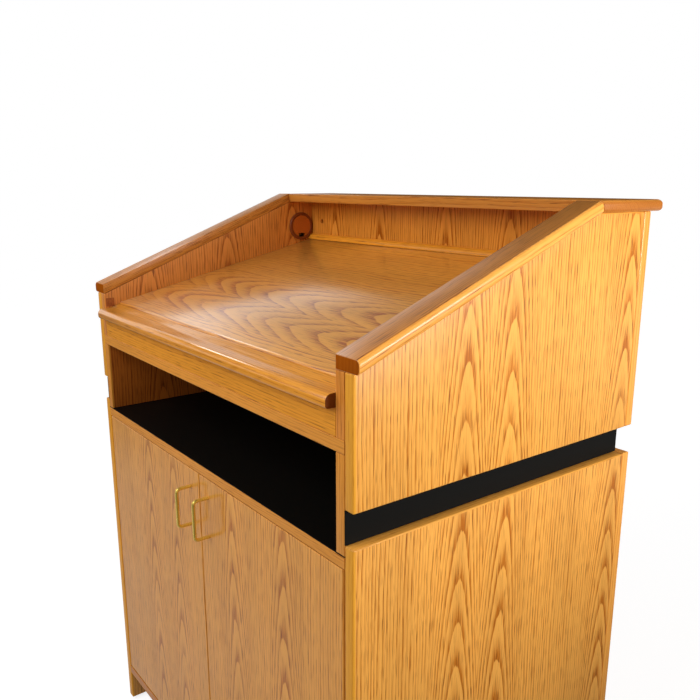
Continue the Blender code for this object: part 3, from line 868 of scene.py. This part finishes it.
@dataclass
class Desk(Assembly):
    """Reading desk: inner sides, desk board, coved nosing, apron, back panel, bead and cable grommet."""

    slope: float = math.radians(12.9)
    edge: Round = (0.0026, 4)
    ramp: float = 0.0180
    fall: float = 0.0068
    heel: float = 0.0012
    lean: float = 0.0010
    cove: Round = (0.0050, 5)
    nose_top: Round = (0.0092, 10)
    nose_bottom: Round = (0.0050, 6)
    nose_arris: float = 0.0006
    bead_round: Round = (0.0100, 8)
    pad_reach: Pair = (0.0030, 0.0205)
    pad_rise: Pair = (0.0016, 0.0178)
    pad_thick: float = 0.0022
    pad_round: float = 0.00088
    grommet_rim: Round = (0.0018, 6)
    grommet_gap: float = 0.0003
    grommet_wall: float = 0.0030
    grommet_sides: int = 72
    shades: Shades = ((237, 156, 43), (191, 105, 17), (109, 47, 5))

    def build(self) -> None:
        """Model and dress the desk."""
        for side in Side:
            oak = Oak("oak_inner_" + side.label, Grain.UPRIGHT_SIDE, (side.value * 0.419, -0.30, 0.0),
                      ((226, 143, 56), (172, 86, 8), (136, 64, 5)), hearts=(0.10, 0.30), taper=0.050,
                      contrast=1.3, coat=0.2, gloss=0.5 if side is Side.LEFT else 0.15)
            self.dress(oak, "desk_side_" + side.label)
        for work in (self.board, self.nosing, self.bead, self.pad, self.grommet):
            work()
        apron = Rift("oak_apron", Grain.ACROSS_FRONT, (0.0, -0.30, 0.90), self.shades, coat=SATIN)
        self.dress(apron, "desk_apron")
        back = Oak("oak_back_panel", Grain.UPRIGHT_FRONT, (-0.42, 0.236, 0.0),
                   ((224, 146, 54), (168, 86, 8), (130, 62, 5)), hearts=(0.10, 0.27), contrast=1.3, coat=0.05,
                   gloss=0.05)
        self.dress(back, "desk_back_panel")
        self.dress(BOARD, "desk_cleat_left", "desk_cleat_right")

    def board(self) -> None:
        """Model the desk board with a soft front arris."""
        low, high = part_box("desk_board")
        climb = (high.y - low.y) * math.tan(self.slope)
        piece = Piece.block("veneered_desk_board", low, (high.x, high.y, high.z - climb))
        piece.shift(at(y=high.y), (0.0, 0.0, climb))
        piece.ease(*self.edge)
        piece.tidy()
        oak = Oak("oak_desk_veneer", Grain.ACROSS_TOP, (-0.42, low.y, low.z),
                  ((244, 170, 66), (180, 90, 17), (140, 68, 13)), tilt=self.slope, leaf=0.60,
                  hearts=(0.095, 0.195), taper=-0.060, flare=2.6, ring=0.0048, wander=0.010, contrast=1.35,
                  coat=1.0, polish=0.17, roughness=0.32, gloss=1.0)
        self.fit(piece, CARCASS, "oak_desk", (oak,), "desk_board")

    def nosing(self) -> None:
        """Model the nosing: a shallow cove behind a rounded front."""
        low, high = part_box("desk_nosing")
        piece = Piece.block("coved_desk_nosing", low, high)
        turn = high.y - self.ramp
        piece.saw((0.0, turn, 0.0), (0.0, 1.0, 0.0))
        sunk = self.heel + self.fall
        for y, drop in ((low.y, sunk + self.lean), (turn, sunk), (high.y, self.heel)):
            piece.shift(at(y=y, z=high.z), (0.0, 0.0, -drop))
        piece.round(at(y=turn, z=high.z - sunk), *self.cove)
        piece.round(at(y=low.y, z=high.z - sunk - self.lean), *self.nose_top)
        piece.round(at(y=low.y, z=low.z), *self.nose_bottom)
        piece.ease(self.nose_arris)
        piece.tidy()
        # The nosing's end grain is partly real end grain and partly painted shade, for the shadow that falls on
        # its end.
        oak = Rift("oak_nosing", Grain.ACROSS_TOP, (0.0, low.y, low.z), self.shades, coat=0.8, end=0.95,
                   cut_end=(104, 42, 4), polish=0.14)
        self.fit(piece, CARCASS, "oak_cap", (oak,), "desk_nosing")

    def bead(self) -> None:
        """Model the quarter-round bead at the foot of the back panel."""
        low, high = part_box("desk_back_bead")
        fall = (high.y - low.y) * math.tan(self.slope)
        piece = Piece.block("rounded_desk_bead", (low.x, low.y, low.z + fall), high)
        piece.shift(at(y=low.y, z=low.z + fall), (0.0, 0.0, -fall))
        piece.round(at(y=low.y, z=high.z), *self.bead_round)
        piece.tidy()
        oak = Rift("oak_bead", Grain.ACROSS_TOP, (0.0, low.y, low.z), self.shades, coat=0.6)
        self.fit(piece, CARCASS, "oak_cap", (oak,), "desk_back_bead")

    def pad(self) -> None:
        """Model the small felt pad on the left inner side above the nosing."""
        side_low, side_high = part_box("desk_side_left")
        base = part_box("desk_nosing")[1].z - self.fall + self.pad_rise[0]
        low = (side_high.x, side_low.y + self.pad_reach[0], base)
        high = (side_high.x + self.pad_thick, side_low.y + self.pad_reach[1], base + self.pad_rise[1])
        piece = Piece.block("felt_pad_left", low, high)
        piece.ease(self.pad_round)
        piece.tidy()
        self.fit(piece, CARCASS, "brown_plastic", (FELT,))

    def grommet(self) -> None:
        """Spin the cable grommet's ring from the outline of its wall, and dress its cap."""
        low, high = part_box("cable_grommet_ring")
        cap_low, cap_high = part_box("cable_grommet_cap")
        y, z = (low.y + high.y) / 2, (low.z + high.z) / 2
        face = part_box("desk_side_left")[1].x
        bore = y + (cap_high.y - cap_low.y) / 2 + self.grommet_gap
        sleeve = bore + self.grommet_wall
        clear()
        bpy.ops.mesh.primitive_plane_add(size=1.0, location=((low.x + high.x) / 2, (bore + sleeve) / 2, z))
        bpy.context.object.scale = (high.x - low.x, sleeve - bore, 1.0)
        ring = Piece("rounded_grommet_ring")
        ring.saw((face, 0.0, 0.0), (1.0, 0.0, 0.0))
        ring.pick(Pick.EDGES, lambda p: p.y > sleeve - TINY and p.x > face - TINY)
        bpy.ops.mesh.extrude_region_move(TRANSFORM_OT_translate={"value": (0.0, high.y - sleeve, 0.0)})
        ring.pick(Pick.VERTS, lambda p: p.x > high.x - TINY and not bore + TINY < p.y < high.y - TINY)
        radius, steps = self.grommet_rim
        bpy.ops.mesh.bevel(offset=radius, segments=steps, affect="VERTICES")
        ring.pick(Pick.FACES, anywhere)
        bpy.ops.mesh.delete(type="ONLY_FACE")
        bpy.ops.mesh.select_mode(type="EDGE")
        bpy.ops.mesh.select_all(action="SELECT")
        bpy.ops.mesh.spin(steps=self.grommet_sides, angle=2 * math.pi, center=(0.0, y, z), axis=(1.0, 0.0, 0.0))
        ring.close()
        ring.tidy()
        self.fit(ring, CARCASS, "brown_plastic", (RING,), "cable_grommet_ring")
        self.dress(BROWN, "cable_grommet_cap")


@dataclass
class Compartment(Assembly):
    """Open compartment under the desk: oak rails, lipped oak sides and black laminate."""

    lip: float = 0.0040
    arris: float = 0.0008
    rail_shades: Shades = ((232, 154, 58), (186, 102, 24), (146, 76, 16))
    lip_shades: Shades = ((223, 147, 56), (177, 95, 23), (138, 70, 15))

    def build(self) -> None:
        """Model the sides and dress the rest of the compartment."""
        rail = Rift("oak_rail_edge", Grain.ACROSS_FRONT, (0.0, -0.30, 0.80), self.rail_shades, coat=SATIN)
        self.dress(rail, "compartment_top", "shelf_edge_rail")
        for side in Side:
            self.side("compartment_side_" + side.label)
        self.dress(BLACK, "compartment_shelf", "compartment_back")

    def side(self, node: str) -> None:
        """Model one side board with a solid lipping down its front edge.

        Args:
            node: The board's node.
        """
        low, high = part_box(node)
        piece = Piece.block("lipped_" + node, low, high)
        line = low.y + self.lip
        piece.saw((0.0, line, 0.0), (0.0, 1.0, 0.0))
        piece.ease(self.arris)
        piece.face(lambda p: p.y < line + TINY, 1)
        piece.tidy()
        lipping = Rift("oak_lipping", Grain.UPRIGHT_FRONT, (0.30, -0.30, 0.80), self.lip_shades, coat=SATIN)
        self.fit(piece, CARCASS, "oak_carcass", (BOARD, lipping), node)


@dataclass
class Cabinet(Assembly):
    """Cabinet behind the doors, its loose shelf, pins, plinth and glides."""

    corners: Tuple[str, ...] = ("front_left", "front_right", "back_left", "back_right")

    def build(self) -> None:
        """Dress the cabinet."""
        self.dress(BOARD, "cabinet_side_left", "cabinet_side_right", "plinth_left", "plinth_right")
        back = Oak("oak_cabinet_back", Grain.UPRIGHT_FRONT, (-0.42, 0.28, 0.0),
                   ((206, 124, 44), (150, 72, 16), (116, 54, 12)), hearts=BOARD.hearts, coat=0.2)
        self.dress(back, "cabinet_back")
        flat = Oak("oak_cabinet_boards", Grain.ACROSS_TOP, (0.0, -0.30, 0.0),
                   ((216, 138, 56), (166, 88, 26), (128, 64, 18)), hearts=BOARD.hearts, coat=0.25)
        self.dress(flat, "cabinet_bottom", "cabinet_shelf")
        self.dress(BLACK, "plinth_front")
        self.dress(STEEL, *["shelf_pin_" + corner for corner in self.corners])
        self.dress(NYLON, *["glide_" + corner for corner in self.corners])


@dataclass
class Doors(Assembly):
    """Two doors on hidden pivots, their wire pulls, screws and catch."""

    wire: float = 0.0064
    wire_sides: int = 20
    bend: Round = (0.0070, 10)
    screw_sides: int = 24
    screw_radius: float = 0.0042
    screw_rise: float = 0.0020
    screw_round: Round = (0.0010, 4)
    socket_wall: float = 0.00126
    socket_depth: float = 0.0012

    def build(self) -> None:
        """Model and dress the doors."""
        for side, start, hearts in ((Side.LEFT, -0.44, (0.21, 0.33)), (Side.RIGHT, -0.02, (0.14, 0.30))):
            name = side.label
            oak = Oak("oak_door_" + name, Grain.UPRIGHT_FRONT, (start, -0.30, 0.0),
                      ((239, 166, 70), (188, 106, 12), (146, 74, 6)), leaf=0.46, hearts=hearts, contrast=1.4,
                      coat=0.45)
            self.dress(oak, "door_" + name)
            self.dress(BRASS, "pivot_bush_" + name)
            self.dress(STEEL, "strike_plate_" + name, "pivot_pin_upper_" + name, "pivot_pin_lower_" + name)
        self.dress(NYLON, "door_catch")
        self.pulls()
        self.screws()

    def pulls(self) -> None:
        """Bend one wire pull and copy it for the other door."""
        low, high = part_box("pull_left")
        x, half, foot = (low.x + high.x) / 2, self.wire / 2, high.y
        bend, steps = self.bend
        top, bottom, turn = high.z - half, low.z + half, low.y + half + bend
        clear()
        bpy.ops.mesh.primitive_circle_add(vertices=self.wire_sides, radius=half, fill_type="NGON",
                                          location=(x, foot, top), rotation=(math.pi / 2, 0.0, 0.0))
        left = Piece("bent_wire_pull_left")
        left.pick(Pick.FACES, anywhere)
        runs = ((0.0, turn - foot, 0.0), (0.0, 0.0, bottom - top + 2 * bend), (0.0, foot - turn, 0.0))
        bends = (top - bend, bottom + bend)
        for i, run in enumerate(runs):
            bpy.ops.mesh.extrude_region_move(TRANSFORM_OT_translate={"value": run})
            if i < len(bends):
                bpy.ops.mesh.spin(steps=steps, angle=-math.pi / 2, center=(x, turn, bends[i]),
                                  axis=(1.0, 0.0, 0.0))
        left.close()
        left.tidy()
        right = left.repeat("bent_wire_pull_right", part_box("pull_right")[0] - low)
        for piece, side in zip((left, right), Side):
            self.fit(piece, "door_" + side.label, "brass", (BRASS,), "pull_" + side.label)

    def screws(self) -> None:
        """Drive two screws into each pull from inside its door: one is modelled, the others are copies."""
        half = self.wire / 2
        places = []
        for side in Side:
            low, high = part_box("pull_" + side.label)
            door = "door_" + side.label
            x, back = (low.x + high.x) / 2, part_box(door)[1].y
            for label, z in (("upper", high.z - half), ("lower", low.z + half)):
                places.append(("pull_screw_%s_%s" % (label, side.label), door, Vector((x, back, z))))
        first, _, at_first = places[0]
        pieces = [self.screw(first, at_first)]
        for name, _, place in places[1:]:
            pieces.append(pieces[0].repeat(name, place - at_first))
        for piece, (_, body, _) in zip(pieces, places):
            self.fit(piece, body, "steel", (STEEL,))

    def screw(self, name: str, foot: Vector) -> Piece:
        """Model one pan-head screw with a round socket, standing on a door's inner face.

        Args:
            name: The screw's name.
            foot: The middle of its foot.

        Returns:
            The screw.
        """
        clear()
        bpy.ops.mesh.primitive_cylinder_add(vertices=self.screw_sides, radius=self.screw_radius,
                                            depth=self.screw_rise, rotation=(math.pi / 2, 0.0, 0.0),
                                            location=(foot.x, foot.y + self.screw_rise / 2, foot.z))
        piece = Piece(name)
        head = at(y=foot.y + self.screw_rise)
        radius, steps = self.screw_round
        piece.pick(Pick.EDGES, head)
        bpy.ops.mesh.bevel(offset=radius, segments=steps, affect="EDGES")
        piece.pick(Pick.FACES, head)
        bpy.ops.mesh.inset(thickness=self.socket_wall)
        bpy.ops.mesh.extrude_region_move(TRANSFORM_OT_translate={"value": (0.0, -self.socket_depth, 0.0)})
        piece.close()
        piece.tidy()
        return piece


@dataclass(frozen=True)
class Floor(Finish):
    """White floor that keeps the lectern's shadow. In gloss it glows as painted light on the left, beyond and far
    right, and is painted dark grey except on the left.
    """

    name: str = "studio_floor_white"
    colour: Colour = (176, 176, 176)
    shade: Colour = (60, 60, 60)
    roughness: float = 0.9
    glow: float = 0.80
    shine: float = 0.60
    left_shine: float = 0.55
    left_x: Steps = (-3.2, -1.6, 0.15, 1.0)
    left_y: Steps = (-2.4, -1.5, 0.2, 1.0)
    left_end: Steps = (-0.4, 0.8, 1.0, 0.0)
    beyond_x: Steps = (4.0, 8.0, 1.0, 0.0)
    beyond_y: Steps = (1.2, 4.2)
    right_x: Steps = (3.5, 6.0)
    right_y: Steps = (3.0, 7.0, 1.0, 0.0)

    def paint(self, sheet: NodeSheet, shader: Node) -> None:
        """Light the floor for the camera, and parts of it for gloss.

        Args:
            sheet: The material's sheet.
            shader: The material's shader.
        """
        gloss, seen = sheet.rays()
        x, y, _ = sheet.parts(sheet.add("TexCoord").outputs["Object"])
        # Painted light for gloss: zones where the floor glows in reflections, and where it is painted dark grey.
        left = sheet.times(sheet.ease(x, *self.left_x), sheet.ease(y, *self.left_y))
        left = sheet.times(left, sheet.ease(x, *self.left_end))
        beyond = sheet.times(sheet.ease(y, *self.beyond_y), sheet.ease(x, *self.beyond_x))
        right = sheet.times(sheet.ease(x, *self.right_x), sheet.ease(y, *self.right_y))
        far = sheet.maths("MAXIMUM", beyond, right)
        bright = sheet.maths("MAXIMUM", sheet.times(left, self.left_shine), far)
        dull = sheet.times(gloss, sheet.maths("SUBTRACT", 1.0, left))
        lit = sheet.times(sheet.times(gloss, bright), self.shine)
        sheet.feed(shader, {
            "Base Color": sheet.mix(dull, linear(self.colour), linear(self.shade)),
            "Roughness": self.roughness, "Specular IOR Level": 0.0, "Emission Color": WHITE,
            "Emission Strength": sheet.ramp(seen, self.glow, lit)})


@dataclass(frozen=True)
class Lamp:
    """A soft lamp: where it hangs and points, its power, its width and height, and its beam."""

    name: str
    place: Point
    target: Point
    watts: float
    size: Pair
    spread: float = math.pi
    diffuse: bool = True

    def hang(self) -> None:
        """Hang the lamp."""
        light = bpy.data.lights.new(self.name, "AREA")
        light.shape = "RECTANGLE"
        light.size, light.size_y = self.size
        light.energy = self.watts
        light.spread = self.spread
        made = bpy.data.objects.new(self.name, light)
        made.location = self.place
        made.rotation_euler = (Vector(self.target) - Vector(self.place)).to_track_quat("-Z", "Y").to_euler()
        made.visible_diffuse = self.diffuse
        bpy.context.scene.collection.objects.link(made)


@dataclass
class Studio:
    """White floor and background, soft lamps and the camera."""

    eye: Point = (1.1700, -0.8485, 1.2454)
    aim: Point = (76.14, 0.0, 52.87)
    lens: float = 38.65
    sensor: float = 36.0
    shift: Pair = (0.0014, 0.0260)
    nearest: float = 0.05
    floor_size: float = 30.0
    ambient: float = 0.46
    sky_lean: float = -0.2
    sky_low: Steps = (0.33, 0.39, 1.0, 0.12)
    sky_left: Steps = (-0.35, 0.10, 1.0, 0.12)
    sky_right: Steps = (0.55, 0.85, 0.0, 0.7)
    sky_beyond: Steps = (0.46, 0.62, 1.0, 0.0)
    lamps: Tuple[Lamp, ...] = (
        Lamp("key_light", (2.30, 0.72, 1.28), (0.2, 0.0, 1.17), 7.9, (1.0, 0.6), math.radians(65)),
        Lamp("front_fill", (0.05, -1.62, 2.05), (0.2, 0.0, 1.10), 20.5, (1.8, 1.2)),
        Lamp("left_window", (-2.27, -0.05, 2.57), (0.2, 0.0, 1.10), 8.0, (0.55, 0.55), diffuse=False))

    def build(self) -> None:
        """Set up the studio."""
        bpy.context.scene.view_settings.view_transform = "Standard"
        self.floor()
        self.world()
        for lamp in self.lamps:
            lamp.hang()
        self.camera()

    def floor(self) -> None:
        """Lay the floor."""
        clear()
        bpy.ops.mesh.primitive_plane_add(size=self.floor_size)
        made = Piece("studio_floor").made
        made.data.materials.append(Floor().material())

    def world(self) -> None:
        """Surround the lectern with white that gloss sees only low down, on the left and far right."""
        world = bpy.data.worlds.new("studio")
        bpy.context.scene.world = world
        world.use_nodes = True
        sheet = NodeSheet(world.node_tree)
        ray, seen = sheet.rays()
        x, y, z = sheet.parts(sheet.add("TexCoord").outputs["Generated"])
        low = sheet.ease(sheet.ramp(y, self.sky_lean, z), *self.sky_low)
        left = sheet.times(sheet.ease(x, *self.sky_left), sheet.ease(y, *self.sky_beyond))
        gloss = sheet.times(low, sheet.maths("MAXIMUM", left, sheet.ease(x, *self.sky_right)))
        strength = sheet.between(seen, sheet.between(ray, self.ambient, gloss), 1.0)
        sheet.feed(world.node_tree.nodes["Background"], {"Strength": strength, "Color": WHITE})

    def camera(self) -> None:
        """Stand the camera at the photograph's viewing angle."""
        lens = bpy.data.cameras.new("view")
        lens.lens = self.lens
        lens.sensor_width = self.sensor
        lens.shift_x, lens.shift_y = self.shift
        lens.clip_start = self.nearest
        made = bpy.data.objects.new("view", lens)
        made.location = self.eye
        made.rotation_euler = [math.radians(angle) for angle in self.aim]
        bpy.context.scene.collection.objects.link(made)
        bpy.context.scene.camera = made


def main() -> None:
    """Load the frame, build and dress each sub-assembly in order, and set up the studio."""
    logging.basicConfig(level=logging.INFO, format="%(name)s: %(message)s")
    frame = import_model()
    for assembly in (Cladding, Caps, Desk, Compartment, Cabinet, Doors):
        assembly(frame).build()
    Studio().build()
    bpy.context.view_layer.update()


if __name__ == "__main__":
    main()
